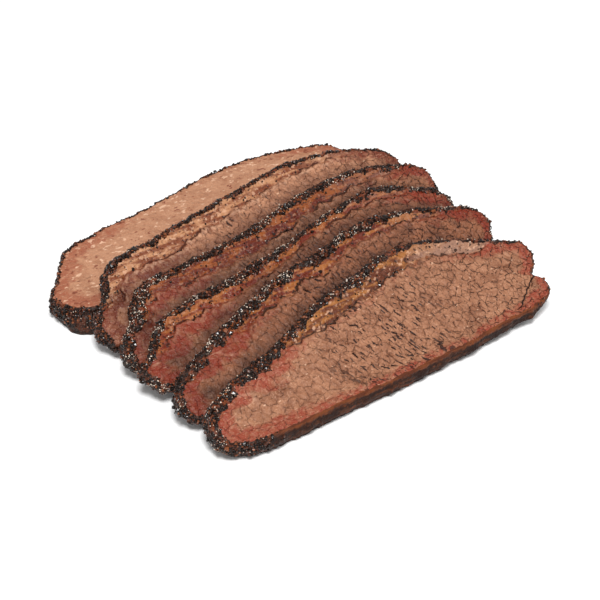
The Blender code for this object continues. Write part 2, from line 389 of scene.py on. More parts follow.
def meat_surface(slab, spot, place, into, richness, height):
    """Relief and marks of the lean at a place that lies into metres inside the fat, over a given height."""
    seed = slab.seed
    share = place.x / (slab.length * MM)
    inside = smoothstep(0.0, 2 * MM, into)
    height += 0.35 * MM * lumps(place, 14 * MM, seed + 4) * smoothstep(0.0, 8 * MM, into)
    crack, grain, tone = meat_grain(slab, place)
    crack *= inside
    if slab.name == "front" and share > 0.3:
        cut = cleft(place, seed)
        crack = max(crack, 0.9 * cut)
        height -= 0.7 * MM * cut
    height += grain * inside
    height += 0.10 * MM * lumps(place, 1.3 * MM, seed + 18) * inside
    ridge_line = into - 2.6 * MM - 0.8 * MM * lumps(place, 8 * MM, seed + 19)
    ridge = smoothstep(2.2 * MM, 0.6 * MM, abs(ridge_line))
    ridge *= spot.dome * richness * slab.ridge
    height += 0.45 * MM * ridge * mix(0.5, 1.0, smoothstep(-0.5, 0.5, lumps(place, 5 * MM, seed + 24)))
    crease = abs(lumps(Vector((place.x * 0.30, place.y, 0.0)), 9 * MM, seed + 12))
    crease = smoothstep(0.05, 0.0, crease) * smoothstep(0.05, -0.25, share)
    # The pale along the raised ridge is a painted highlight on its lit edge
    pale = 0.45 * ridge * smoothstep(-0.5, 0.4, lumps(place, 3 * MM, seed + 23))
    pale = max(pale, 0.28 * crease * smoothstep(-0.2, 0.5, lumps(place, 12 * MM, seed + 20)))
    ends = smoothstep(-0.12, -0.32, share) if share < 0.0 else smoothstep(0.22, 0.42, share)
    end_reach = RING_REACH_LEFT if share < 0.0 else RING_REACH_RIGHT
    reach = mix(RING_REACH, end_reach, ends) * MM * (1.0 + 0.5 * lumps(place, 9 * MM, seed + 21))
    mottle = lumps(place, 3.6 * MM, seed + 13) + 0.5 * lumps(place, 12 * MM, seed + 29)
    patch = mix(mix(0.45, 0.62, ends), 1.0, smoothstep(-0.35, 0.45, mottle))
    strength = mix(mix(0.9, 0.40, spot.dome), 1.0, ends)
    ring = strength * patch * smoothstep(1.35 * reach, 0.60 * reach, into)
    return Meat(height, crack, pale, ring, tone)


print("smoke ring reaches", RING_REACH, "to", RING_REACH_LEFT, "mm in")

# %% One place on the cut face
CLUMP_REACH = 1.3 * MM
FOLD_RELIEF = 0.34 * MM

Surface = namedtuple("Surface", "height crust fat ring crack seam pale pepper fat_share tone")


def stepped(value, knots, heights):
    """A smooth run through heights given at knots."""
    for k in range(1, len(knots)):
        if value <= knots[k]:
            return mix(heights[k - 1], heights[k], smoothstep(knots[k - 1], knots[k], value))
    return heights[-1]


def face_surface(slab, spot, place, inset):
    """Relief and bands at one place on the cut face, a given way in from a spot on the rim."""
    seed = slab.seed
    ragged = 0.7 * MM * lumps(place, 2.6 * MM, seed + 8) + 0.7 * MM * lumps(place, 6 * MM, seed + 16)
    clump = CLUMP_REACH * smoothstep(-0.1, 0.7, lumps(place, 8 * MM, seed + 31)) * spot.dome
    crust_edge = spot.crust + (ragged + clump) * smoothstep(0.0, 3.0 * MM, spot.crust)
    fat_edge = spot.crust + spot.fat + 1.4 * ragged
    meat_edge = fat_edge + SHOULDER * mix(0.4, 0.7, spot.dome)
    richness = smoothstep(0.8 * MM, 3.5 * MM, spot.fat)
    sink = FAT_SINK * spot.dome * richness
    crust_top = (0.6 * lumps(spot.point, CRAG_SIZE, seed + 3) + 0.3) * CRAG_REACH * spot.dome
    below = RIM_ROUND * (1.0 - spot.dome)
    height = stepped(
        inset,
        (0.0, 0.45 * crust_edge, crust_edge, fat_edge, meat_edge),
        (-RIM_ROUND, crust_top - 0.5 * below, -0.5 * sink - 0.4 * below, -sink - 0.2 * below, 0.0),
    )
    crust = smoothstep(crust_edge + 0.3 * MM, crust_edge - 0.3 * MM, inset)
    fat = smoothstep(fat_edge + 0.5 * MM, fat_edge - 0.5 * MM, inset) * (1.0 - crust) * richness
    fat_share = min(max((inset - crust_edge) / max(spot.fat, 0.5 * MM), 0.0), 1.0)
    meat = 1.0 - max(crust, fat)
    crag = abs(lumps(place, 2.4 * MM, seed + 9))
    height += crust * spot.pepper * (1.5 * MM * crag - 0.5 * MM)
    streak = Vector((place.x * 0.22, place.y, 0.0))
    folds = lumps(streak, 1.8 * MM, seed + 10) + 0.6 * lumps(place, 3.5 * MM, seed + 17)
    height += fat * FOLD_RELIEF * folds
    into = inset - fat_edge
    lean = Meat(height, 0.0, 0.0, 0.0, 0.5)
    if meat > 0.01:
        lean = meat_surface(slab, spot, place, into, richness, height)
    seam = smoothstep(1.5 * MM, 0.3 * MM, abs(into - 0.5 * MM)) * spot.dome * richness
    seam *= smoothstep(-0.35, 0.25, lumps(streak, 5 * MM, seed + 14))
    density = spot.pepper * smoothstep(crust_edge + 1.0 * MM, crust_edge - 0.5 * MM, inset)
    strays = 0.25 * fat + 0.9 * seam * smoothstep(-0.3, 0.4, lumps(place, 9 * MM, seed + 25))
    density = max(density, strays * smoothstep(-0.2, 0.4, lumps(place, 4 * MM, seed + 26)))
    return Surface(lean.height, crust, fat, lean.ring, lean.crack, seam, lean.pale, density,
                   fat_share, lean.tone)


# %% [markdown]
# ## Growing a slab
#
# A slice could be a scan or a sculpt, but one recipe has to grow six. A circle of vertices is moved onto
# the back face. Its edge is extruded ring by ring, up the bark side and then inwards over the cut face to
# the slice's long middle line, and each new ring is moved onto the relief. The last ring is bridged across
# the middle line and the hole in the back is filled. What each vertex is made of goes along as attributes.

# %% Bark side and lean
def side_point(slab, spot, share):
    """A point on the bark side, share 0 at the back face and 1 at the rim of the cut face."""
    thickness = slab.thickness * MM
    rise = share * (thickness - RIM_ROUND)
    belt = Vector((spot.point.x, spot.point.y, 0.5 * thickness))
    spread = slab.flare * MM * smoothstep(0.2, 0.9, -spot.outward.y)
    bulge = BELT_BULGE + 0.5 * spread + 0.8 * CRAG_REACH * lumps(belt, CRAG_SIZE, slab.seed + 5)
    out = stepped(share, (0.0, 0.5, 1.0), (spread - BACK_INSET, bulge, 0.0))
    place = Vector((spot.point.x, spot.point.y, rise))
    long_way = Vector((spot.point.x * 0.18, spot.point.y * 0.18, rise))
    rough = smoothstep(0.0, 0.25, share) * smoothstep(1.0, 0.85, share)
    crags = 1.0 * MM * abs(lumps(place, 3.0 * MM, slab.seed + 15)) - 0.35 * MM
    furrows = 0.55 * MM * lumps(long_way, 2.6 * MM, slab.seed + 22)
    out += rough * mix(crags, furrows, spot.lower)
    return spot.point + spot.outward * out + Vector((0.0, 0.0, rise))


def lean_place(slab, point, foot, lean, droop):
    """Leans a point of a slab back from its foot, with the front slice's foot bent flat to the floor."""
    bent = min(max(point.y, 0.0), droop)
    angle = lean
    y = 0.0
    z = 0.0
    if droop > 0.0:
        radius = droop / (lean - FRONT_DROOP_LEAN)
        angle = FRONT_DROOP_LEAN + bent / radius
        y = radius * (math.sin(angle) - math.sin(FRONT_DROOP_LEAN))
        z = radius * (math.cos(FRONT_DROOP_LEAN) - math.cos(angle))
    else:
        y = -BACK_INSET * math.cos(lean)
        z = -BACK_INSET * math.sin(lean)
    rest = point.y - bent
    y += rest * math.cos(angle) - point.z * math.sin(angle)
    z += rest * math.sin(angle) + point.z * math.cos(angle)
    return Vector((point.x + slab.middle * MM, foot + y, max(z, 0.0))) + STACK_SHIFT


# %% Rings of one slab
BACK_SHARES = (0.35, 0.75)
RIM_CROWDING = 1.05
LAST_RING = 0.985
DENSE_PART = 0.80
SPARSE_SHARES = [0.88, 0.96]
NO_MARKS = (0.0, 0.0, 0.0)
ALL_BARK = (1.0, 0.0, 0.0)


def ring_shares(slab):
    """How far in each ring of the cut face lies, as shares of the way to the middle line."""
    if slab.name == "front":
        return [(k / FACE_RINGS_FRONT) ** RIM_CROWDING * LAST_RING for k in range(FACE_RINGS_FRONT + 1)]
    return [DENSE_PART * k / FACE_RINGS_BEHIND for k in range(FACE_RINGS_BEHIND + 1)] + SPARSE_SHARES


def slab_rings(slab, rim):
    """Rings of places and what they are made of, over the back, up the bark side and over the cut face."""
    rings = []
    for share in BACK_SHARES:
        ring = []
        for spot in rim:
            place = side_point(slab, spot, 0.0) + spot.inward * spot.reach * (1.0 - share)
            ring.append((place, ALL_BARK, NO_MARKS, 0.0, NO_MARKS))
        rings.append(ring)
    for k in range(SIDE_RINGS):
        share = k / SIDE_RINGS
        ring = []
        for spot in rim:
            point = side_point(slab, spot, share)
            density = spot.pepper * smoothstep(0.1, 0.4, share) * mix(1.0, 0.35, spot.lower)
            ring.append((point, ALL_BARK, NO_MARKS, density, NO_MARKS))
        rings.append(ring)
    for share in ring_shares(slab):
        ring = []
        for spot in rim:
            inset = share * spot.reach
            place = spot.point + spot.inward * inset
            at = face_surface(slab, spot, place, inset)
            point = Vector((place.x, place.y, slab.thickness * MM + at.height))
            ring.append((point, (at.crust, at.fat, at.ring), (at.crack, at.seam, at.pale), at.pepper,
                         (at.fat_share, at.tone, shade_under_nearer(slab, place))))
        rings.append(ring)
    return rings


# %% One slab
def skin_rings(rings, rim):
    """A closed surface through the rings, with its vertices in the order of the rings."""
    grown = bmesh.new()
    bmesh.ops.create_circle(grown, cap_ends=False, segments=len(rim), radius=1.0)
    verts = grown.verts[:]
    edges = grown.edges[:]
    for ring in rings:
        if ring is not rings[0]:
            made = bmesh.ops.extrude_edge_only(grown, edges=edges)["geom"]
            verts = [item for item in made if isinstance(item, bmesh.types.BMVert)]
            edges = [item for item in made if isinstance(item, bmesh.types.BMEdge)]
            edges = [edge for edge in edges if len(edge.link_faces) == 1]
        for vert, made_of in zip(verts, ring):
            vert.co = made_of[0]
    above = {vert for vert, spot in zip(verts, rim) if spot.inward.y < 0.0}
    halves = [edge for edge in edges if (edge.verts[0] in above) == (edge.verts[1] in above)]
    bmesh.ops.bridge_loops(grown, edges=halves)
    bmesh.ops.holes_fill(grown, edges=grown.edges[:], sides=0)
    bmesh.ops.triangulate(grown, faces=[face for face in grown.faces if len(face.verts) > 4])
    bmesh.ops.recalc_face_normals(grown, faces=grown.faces[:])
    return grown


def add_marks(mesh, rows, names):
    """Stores what each vertex is made of as vector attributes."""
    for name, column in names:
        attribute = mesh.attributes.new(name, "FLOAT_VECTOR", "POINT")
        flat = [value for row in rows for value in row[column]]
        attribute.data.foreach_set("vector", flat)


def grow_slab(slab, foot, lean, droop):
    """One slice as a fine closed mesh with its marks, set down in the stack."""
    rim = slice_rim(slab, ROUND_FRONT if slab.name == "front" else ROUND_BEHIND)
    rings = slab_rings(slab, rim)
    grown = skin_rings(rings, rim)
    mesh = bpy.data.meshes.new(slab.name + "_slice")
    grown.to_mesh(mesh)
    grown.free()
    flat = [row for ring in rings for row in ring]
    lower = [spot.lower for spot in rim] * len(rings)
    thickness = slab.thickness * MM
    rows = []
    for (point, bands, marks, pepper, depths), low in zip(flat, lower):
        rows.append((point, bands, marks, (pepper, low, point.z / thickness), depths))
    add_marks(mesh, rows, (("slab", 0), ("bands", 1), ("marks", 2), ("bark", 3), ("depths", 4)))
    for vert, row in zip(mesh.vertices, rows):
        vert.co = lean_place(slab, row[0], foot, lean, droop)
    mesh.shade_smooth()
    piece = bpy.data.objects.new(slab.name + "_slice", mesh)
    bpy.context.scene.collection.objects.link(piece)
    return piece


# %% [markdown]
# ## Setting down the stack
#
# Each leaning slab stands on the floor and lies against the one behind it, so the feet are one thickness
# apart, measured along the lean. This is the same rule that the CAD part uses, so each piece stands for
# its CAD node.

# %% All six slabs
def set_down():
    """The slices from front to back."""
    pieces = [grow_slab(SLICES[0], -DROOP_RUN, LEAN, FRONT_DROOP)]
    foot = 0.0
    for slab in SLICES[1:-1]:
        foot += (slab.thickness * MM + GAP) / math.sin(LEAN)
        pieces.append(grow_slab(slab, foot, LEAN, 0.0))
    foot += (SLICES[-1].thickness * MM + GAP) / math.tan(LEAN) + CRAG_REACH
    pieces.append(grow_slab(SLICES[-1], foot, 0.0, 0.0))
    return pieces


slices = set_down()
for piece in slices:
    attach(piece, "root")
    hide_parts("slice_" + piece.name.replace("_slice", ""))
    print(piece.name, len(piece.data.polygons), "faces")

# %% [markdown]
# ## Writing shaders as sums
#
# The finishes mix many masks. A small class stands for a shader socket and makes the maths nodes itself,
# so that a mask reads as a sum on numbers.

# %% A socket that can be added and multiplied
class Socket:
    """One output of a shader node. Sums with others, or with plain numbers, build the maths nodes."""

    def __init__(self, paint, link):
        self.paint = paint
        self.link = link

    def maths(self, operation, first, second):
        node = self.paint.node("ShaderNodeMath", {"operation": operation}, {0: first, 1: second})
        return Socket(self.paint, node.outputs[0])

    def __add__(self, other):
        return self.maths("ADD", self, other)

    __radd__ = __add__

    def __mul__(self, other):
        return self.maths("MULTIPLY", self, other)

    __rmul__ = __mul__

    def __sub__(self, other):
        return self.maths("SUBTRACT", self, other)

    def __rsub__(self, other):
        return self.maths("SUBTRACT", other, self)


class Paint:
    """A material and the nodes that are added to it."""

    def __init__(self, name):
        self.material = bpy.data.materials.new(name)
        self.material.use_nodes = True
        self.tree = self.material.node_tree
        self.shader = self.tree.nodes["Principled BSDF"]

    def node(self, kind, settings, inputs):
        """A node of any kind, with its settings and what goes into it, values or sockets."""
        node = self.tree.nodes.new(kind)
        for name, value in settings.items():
            setattr(node, name, value)
        for name, value in inputs.items():
            if isinstance(value, Socket):
                self.tree.links.new(value.link, node.inputs[name])
            else:
                node.inputs[name].default_value = value
        return node

    def attribute(self, name):
        node = self.node("ShaderNodeAttribute", {"attribute_name": name}, {})
        return Socket(self, node.outputs["Vector"])

    def parts(self, vector):
        node = self.node("ShaderNodeSeparateXYZ", {}, {0: vector})
        return [Socket(self, node.outputs[k]) for k in range(3)]

    def shifted(self, vector, shift):
        node = self.node("ShaderNodeVectorMath", {"operation": "ADD"}, {0: vector, 1: shift})
        return Socket(self, node.outputs[0])

    def scaled(self, vector, scale):
        node = self.node("ShaderNodeVectorMath", {"operation": "MULTIPLY"}, {0: vector, 1: scale})
        return Socket(self, node.outputs[0])

    def noise(self, vector, size, detail):
        """Noise around 0.5 with lumps of about that size, in metres."""
        node = self.node("ShaderNodeTexNoise", {},
                         {"Vector": vector, "Scale": 1.0 / size, "Detail": detail})
        return Socket(self, node.outputs[0])

    def bent(self, vector, size, amount):
        """The same places, pushed about by noise."""
        node = self.node("ShaderNodeTexNoise", {}, {"Vector": vector, "Scale": 1.0 / size, "Detail": 1.0})
        push = self.node("ShaderNodeVectorMath", {"operation": "MULTIPLY_ADD"},
                         {0: Socket(self, node.outputs["Color"]), 1: (amount,) * 3, 2: vector})
        return Socket(self, push.outputs[0])

    def turned(self, vector, turn, stretch):
        """The same places, turned and drawn out one way."""
        node = self.node("ShaderNodeMapping", {"vector_type": "TEXTURE"},
                         {"Vector": vector, "Rotation": (0.0, 0.0, turn), "Scale": (stretch, 1.0, 1.0)})
        return Socket(self, node.outputs[0])

    def walls(self, vector, size, stretch, turn):
        """How far the walls of a flat Voronoi pattern are, in metres, with cells drawn out one way."""
        node = self.node("ShaderNodeTexVoronoi",
                         {"feature": "DISTANCE_TO_EDGE", "voronoi_dimensions": "2D"},
                         {"Vector": self.turned(vector, turn, stretch), "Scale": 1.0 / size})
        return Socket(self, node.outputs["Distance"]) * size

    def larger(self, first, second):
        return first.maths("MAXIMUM", first, second)

    def ramp(self, value, low, high, start=0.0, end=1.0):
        """A smooth ramp from start at low to end at high."""
        node = self.node(
            "ShaderNodeMapRange", {"interpolation_type": "SMOOTHSTEP", "clamp": True},
            {"Value": value, "From Min": low, "From Max": high, "To Min": start, "To Max": end},
        )
        return Socket(self, node.outputs[0])

    def mix(self, share, first, second):
        """One colour turning into another."""
        node = self.node("ShaderNodeMix", {"data_type": "RGBA", "clamp_factor": True},
                         {"Factor": share, 6: first, 7: second})
        return Socket(self, node.outputs[2])

    def bump(self, height, distance):
        node = self.node("ShaderNodeBump", {}, {"Height": height, "Distance": distance, "Strength": 1.0})
        return Socket(self, node.outputs[0])

    def finish(self, **inputs):
        """Sets the shader's inputs, values or sockets, by name with _ for a space."""
        for name, value in inputs.items():
            socket = self.shader.inputs[name.replace("_", " ")]
            if isinstance(value, Socket):
                self.tree.links.new(value.link, socket)
            else:
                socket.default_value = value
        return self.material


def colour(red, green, blue):
    """A screen colour, 0 to 255, as the linear colour that shaders use."""
    parts = []
    for part in (red, green, blue):
        part = part / 255.0
        parts.append(part / 12.92 if part <= 0.04045 else ((part + 0.055) / 1.055) ** 2.4)
    return (*parts, 1.0)


print("mid grey as a shader sees it:", round(colour(128, 128, 128)[0], 3))

# %% [markdown]
# ## Painting the brisket
#
# One recipe paints all six slices, each with its own colours: the slices in the middle are darker and
# redder than the front one, and the back one paler. Part of that is painted shade on the middle slices,
# which lie in the shadow of their neighbours, and painted light on the back one, which lies flat. A
# photograph could be laid over them, but it would keep the light that it was taken in. Here the bands
# come from the attributes, and noise in the slab's own frame breaks up each band.

# %% Colours of the slices
Look = namedtuple("Look", "meat deep ring fat fat_dark seam")
# The middle slices' darker colours are partly painted shade, the back slice's paler ones partly painted light
LOOKS = {
    "front": Look(colour(156, 107, 79), colour(112, 67, 44), colour(134, 52, 33), colour(150, 94, 46),
                  colour(90, 43, 22), colour(42, 22, 14)),
    "second": Look(colour(138, 86, 59), colour(78, 43, 27), colour(118, 36, 17), colour(154, 92, 44),
                   colour(98, 35, 16), colour(34, 17, 10)),
    "third": Look(colour(134, 84, 57), colour(76, 43, 27), colour(120, 36, 17), colour(148, 84, 40),
                  colour(104, 35, 16), colour(50, 20, 11)),
    "fourth": Look(colour(150, 97, 69), colour(84, 49, 33), colour(114, 35, 17), colour(138, 74, 34),
                   colour(88, 28, 13), colour(38, 18, 11)),
    "fifth": Look(colour(172, 120, 90), colour(108, 62, 42), colour(104, 39, 22), colour(178, 126, 90),
                  colour(116, 60, 34), colour(62, 24, 13)),
    "back": Look(colour(180, 130, 100), colour(150, 99, 72), colour(150, 84, 60), colour(170, 122, 92),
                 colour(148, 96, 68), colour(116, 56, 37)),
}
CRACK_COLOUR = colour(40, 18, 12)
PALE_COLOUR = colour(208, 162, 132)
PAINTED_GLEAM_COLOUR = colour(226, 184, 154)
SILVER_COLOUR = colour(150, 112, 92)
BARK_BLACK = colour(24, 12, 7)
BARK_BROWN = colour(60, 30, 16)
BARK_GREY = colour(100, 84, 74)
BARK_RUST = colour(122, 58, 30)
SIDE_BROWN = colour(74, 39, 20)
SIDE_DARK = colour(36, 15, 7)
LIP_COLOUR = colour(116, 60, 28)
# Strength of the painted highlights on the lean, and of the pale bits on the fat, slice by slice
SPECKLE = {"front": 0.36, "second": 0.16, "third": 0.16, "fourth": 0.16, "fifth": 0.36, "back": 0.36}
print(len(LOOKS), "looks of", len(Look._fields), "colours")

# %% [markdown]
# ## Lines between the bundles
#
# The finest cracks are thinner than the mesh, so they are painted and bumped. Two Voronoi nets of
# different size give the scales, and their walls come and go with noise, because a whole net would look
# like a snake's skin. In the middle, stretched noise gives lens-shaped slits that all lean one way.
# Beside the wide cracks the meat is darkened, a painted shade.

# %% Masks and lines
WIDE_CELLS = 5.2 * MM
CLOSE_CELLS = 2.9 * MM
LENS_SIZE = 1.5 * MM
LENS_STRETCH = 4.0

Masks = namedtuple(
    "Masks", "own along fine small broad crust fat ring crack seam pale lower rise fat_share tone damp"
)


def slice_masks(paint, slab):
    """What the slab's marks and some noise say about each place."""
    place = paint.attribute("slab")
    crust, fat, ring = paint.parts(paint.attribute("bands"))
    crack, seam, pale = paint.parts(paint.attribute("marks"))
    lower, rise = paint.parts(paint.attribute("bark"))[1:]
    fat_share, tone, damp = paint.parts(paint.attribute("depths"))
    along = paint.parts(place)[0] * (1.0 / (slab.length * MM))
    own = paint.shifted(place, (0.013 * slab.seed, 0.017 * slab.seed, 0.01 * slab.seed))
    fine = paint.noise(own, 0.9 * MM, 3.0)
    small = paint.noise(own, 2.4 * MM, 3.0)
    broad = paint.noise(own, 11 * MM, 3.0)
    return Masks(own, along, fine, small, broad, crust, fat, ring, crack, seam, pale, lower, rise,
                 fat_share, tone, damp)


def grain_lines(paint, own, along, slits):
    """Cracks between bundles of fibres, with a share of slits, and the painted shade beside the wide ones."""
    places = paint.bent(own, 3.5 * MM, 2.6 * MM)
    wide_cells = paint.walls(places, WIDE_CELLS, 1.2, SLIT_TURN)
    close_cells = paint.walls(places, CLOSE_CELLS, 1.5, SLIT_TURN)
    middle = paint.ramp(along, -0.26, -0.06) * paint.ramp(along, 0.28, 0.10)
    left = paint.ramp(along, -0.05, -0.25)
    opening = paint.noise(own, 1.9 * MM, 2.0)
    parting = paint.noise(paint.bent(own, 9 * MM, 1.0 * MM), 2.6 * MM, 1.0)
    wide = paint.ramp(wide_cells, paint.ramp(opening, 0.42, 0.62, 0.02 * MM, 0.40 * MM), 0.0)
    close = paint.ramp(close_cells, paint.ramp(parting, 0.46, 0.64, 0.02 * MM, 0.34 * MM), 0.0)
    lens = paint.noise(paint.turned(places, SLIT_TURN, LENS_STRETCH), LENS_SIZE, 0.0)
    crowd = paint.ramp(paint.noise(own, 8 * MM, 1.0), 0.42, 0.64, -0.01, 0.03)
    lenses = paint.ramp(lens, crowd + 0.315, crowd + 0.285)
    lines = wide * (1.0 - 0.5 * left) * (1.0 - 0.4 * slits * middle)
    close = close * (0.6 - 0.5 * left) * (1.0 - 0.35 * middle)
    lines = paint.larger(lines, paint.larger(close, lenses * middle * slits))
    # Painted shade: the meat beside the wide cracks is darkened
    shade = paint.ramp(wide_cells, 1.3 * MM, 0.1 * MM) * paint.ramp(opening, 0.40, 0.62)
    return lines, shade


print("nets of", WIDE_CELLS / MM, "and", CLOSE_CELLS / MM, "mm")


# %% [markdown]
# ## Lean, fat and bark
#
# Cut lean is brown and mottled, pink where the smoke got in, with pale specks and gleams painted on as
# highlights where wet fibres shine. One flat brown would look like clay, so noise at three sizes takes it
# towards its deeper and paler tones. The fat cap has turned golden and browns in streaks along the slice,
# so its noise is drawn out that way, and at the right a thin grey silverskin lies over it. Its pale bits
# are partly crumbs and partly painted highlights. Bark is the dark crust of smoke and spice, rusty at the
# cut and dusted with grey. The trimmed lower side has long furrows under a paler lip, which is partly a
# painted highlight and has a painted shadow under it, and is a finish of its own.

# %% Lean meat
def lean_finish(paint, at, look, slab, line, shade):
    """Colour of the lean: mottled, ringed with pink, speckled, with painted highlights, dark in its cracks."""
    speckle = SPECKLE[slab.name]
    deepness = paint.ramp(at.broad, 0.40, 0.72, 0.0, 0.45) + paint.ramp(at.small, 0.42, 0.66, 0.0, 0.30)
    # Painted shade beside the wide cracks deepens the colour
    deepness = deepness + shade * (0.30 * slab.cracks)
    meat = paint.mix(deepness + paint.ramp(at.tone, -1.0, 1.0, -0.25, 0.25), look.meat, look.deep)
    meat = paint.mix(paint.ramp(at.ring + 0.5 * (at.small - 0.5), 0.05, 1.0, 0.0, 0.90), meat, look.ring)
    # Pale specks and the gleams below are painted highlights for the sheen of wet cut fibres
    meat = paint.mix(paint.ramp(at.fine, 0.54, 0.74, 0.0, speckle), meat, PALE_COLOUR)
    meat = paint.mix(paint.ramp(at.fine, 0.44, 0.28, 0.0, 0.30), meat, look.deep)
    painted_gleam = paint.noise(paint.turned(at.own, 0.0, 2.2), 1.5 * MM, 2.0)
    meat = paint.mix(paint.ramp(painted_gleam, 0.68, 0.76, 0.0, 1.6 * speckle), meat, PAINTED_GLEAM_COLOUR)
    # Pale along the raised ridge is a painted highlight
    meat = paint.mix(at.pale, meat, PALE_COLOUR)
    meat = paint.mix(line * (0.95 * slab.cracks), meat, CRACK_COLOUR)
    if slab.name == "back":
        flecks = paint.noise(paint.scaled(at.own, (0.6, 1.0, 1.0)), 2.6 * MM, 2.0)
        # Painted highlights on the back slice's flecks; the dark flecks below are its own colour
        meat = paint.mix(paint.ramp(flecks, 0.60, 0.70, 0.0, 0.7), meat, PAINTED_GLEAM_COLOUR)
        meat = paint.mix(paint.ramp(flecks, 0.37, 0.31, 0.0, 0.8), meat, look.seam)
    return meat


# %% Fat and silverskin
SILVERSKIN = 0.8
SILVERSKIN_BEHIND = 0.25


def fat_finish(paint, at, look, slab):
    """Colour of the fat band: golden, browned in streaks, with silverskin at its right and crumbs on it."""
    streaks = paint.noise(paint.scaled(at.own, (0.25, 1.0, 1.0)), 3.0 * MM, 4.0)
    fat = paint.mix(paint.ramp(streaks + 0.14 * at.fat_share, 0.45, 0.66), look.fat, look.fat_dark)
    most = SILVERSKIN if slab.name == "front" else SILVERSKIN_BEHIND
    silver = paint.ramp(at.along + 0.25 * (at.broad - 0.5), 0.17, 0.27, 0.0, most)
    fat = paint.mix(silver, fat, SILVER_COLOUR)
    # Pale bits on the fat: partly pale crumbs and partly painted highlights
    pale = paint.ramp(paint.noise(at.own, 2.4 * MM, 4.0), 0.55, 0.66, 0.0, 1.6 * SPECKLE[slab.name])
    fat = paint.mix(pale, fat, PALE_COLOUR)
    crumbs = paint.ramp(paint.noise(at.own, 2.0 * MM, 4.0), 0.44, 0.34, 0.0, 0.9)
    return paint.mix(crumbs, fat, look.seam)


# %% Bark
def side_finish(paint, at, furrow):
    """Colour of the trimmed lower side: brown furrows, dark blotches and a painted shadow under its lip."""
    side = paint.mix(paint.ramp(furrow, 0.46, 0.64), SIDE_BROWN, SIDE_DARK)
    side = paint.mix(paint.ramp(furrow, 0.42, 0.30, 0.0, 0.8), side, BARK_RUST)
    stain = paint.ramp(at.broad, 0.50, 0.60, 0.0, 0.85) * paint.ramp(at.rise, 0.80, 0.6)
    side = paint.mix(stain, side, SIDE_DARK)
    blotch = paint.noise(at.own, 3.4 * MM, 3.0)
    side = paint.mix(paint.ramp(blotch, 0.52, 0.60, 0.0, 0.75), side, SIDE_DARK)
    # Painted shadow under the lip
    painted_shadow_under_lip = paint.ramp(at.rise + 0.4 * (at.small - 0.5), 0.54, 0.66) * paint.ramp(at.rise, 0.80, 0.70)
    return paint.mix(0.85 * painted_shadow_under_lip, side, SIDE_DARK)


def bark_finish(paint, at, look):
    """Colour of the bark: black and brown with rust and pale dust, and the lower side with its lip."""
    bark = paint.mix(paint.ramp(paint.noise(at.own, 2.2 * MM, 4.0), 0.44, 0.66), BARK_BLACK, BARK_BROWN)
    rusty = paint.ramp(paint.noise(at.own, 5 * MM, 3.0), 0.50, 0.62)
    rusty = rusty * paint.ramp(at.rise, 0.80, 1.0, 0.3, 0.8)
    bark = paint.mix(rusty, bark, BARK_RUST)
    dust = paint.ramp(paint.noise(at.own, 0.9 * MM, 3.0), 0.60, 0.66, 0.0, 0.8) * (1.0 - at.lower)
    bark = paint.mix(dust, bark, BARK_GREY)
    furrow = paint.noise(paint.scaled(at.own, (0.16, 1.0, 1.0)), 2.2 * MM, 4.0)
    bark = paint.mix(at.lower, bark, side_finish(paint, at, furrow))
    # The lip is partly its own paler colour and partly a painted highlight on the lit top of the side
    lip = paint.ramp(at.rise + 0.6 * (at.small - 0.5), 0.72, 0.90) * at.lower
    return paint.mix(lip * 0.8, bark, paint.mix(paint.ramp(furrow, 0.42, 0.58), LIP_COLOUR, look.fat_dark))


# %% A whole slice
MEAT_SPECULAR = 0.22
SLITS_BEHIND = 0.5


def paint_slice(piece, look, slab):
    """Gives one slice its finish: lean, fat and bark, each where the slab says."""
    paint = Paint(piece.name + "_finish")
    at = slice_masks(paint, slab)
    line, shade = grain_lines(paint, at.own, at.along, 1.0 if slab.name == "front" else SLITS_BEHIND)
    meat = lean_finish(paint, at, look, slab, line, shade)
    skin = paint.mix(at.fat, meat, fat_finish(paint, at, look, slab))
    skin = paint.mix(paint.ramp(at.seam + 0.8 * (at.fine - 0.5), 0.35, 0.80, 0.0, 0.85), skin, look.seam)
    # Painted shade, in the seam's dark colour, where the cut face goes under the slice in front
    skin = paint.mix(0.55 * at.damp, skin, look.seam)
    skin = paint.mix(paint.ramp(at.crack, 0.10, 0.75), skin, CRACK_COLOUR)
    crusted = paint.ramp(at.crust + 0.6 * (at.small - 0.5), 0.35, 0.65)
    skin = paint.mix(crusted, skin, bark_finish(paint, at, look))
    rough = paint.ramp(at.fine, 0.3, 0.7, 0.26, 0.48) - 0.06 * at.fat + 0.4 * at.lower * at.crust
    relief = 0.35 * paint.noise(at.own, 0.6 * MM, 3.0) + 1.3 * paint.noise(at.own, 2.0 * MM, 2.0)
    relief = relief - (0.7 * slab.cracks) * line * (1.0 - at.crust) * (1.0 - at.fat)
    piece.data.materials.append(paint.finish(
        Base_Color=skin, Roughness=rough, Normal=paint.bump(relief, 0.7 * MM),
        Specular_IOR_Level=MEAT_SPECULAR,
    ))


for piece, slab in zip(slices, SLICES):
    paint_slice(piece, LOOKS[slab.name], slab)
print(len(slices), "slices painted")

# %% [markdown]
# ## Cracked pepper
#
# The bark carries coarse cracked pepper: angular grains about a millimetre across, mostly black, some
# brown husk and some pale insides. Each shape is a small faceted ball, squeezed and knocked out of round.
# An operator for each of the many thousand grains would take minutes, so sixteen shapes are made once,
# and their corners are copied, turned and set on the bark where the slab says that there is pepper.

# %% Shapes and finishes of the grains
GRAIN_KINDS = 16
PEPPER_SIZE = (0.36 * MM, 0.95 * MM)
PEPPER_SPACING = 0.52 * MM
GRAINS_PER_SLICE = 4200
PEPPER_SPECULAR = 0.4


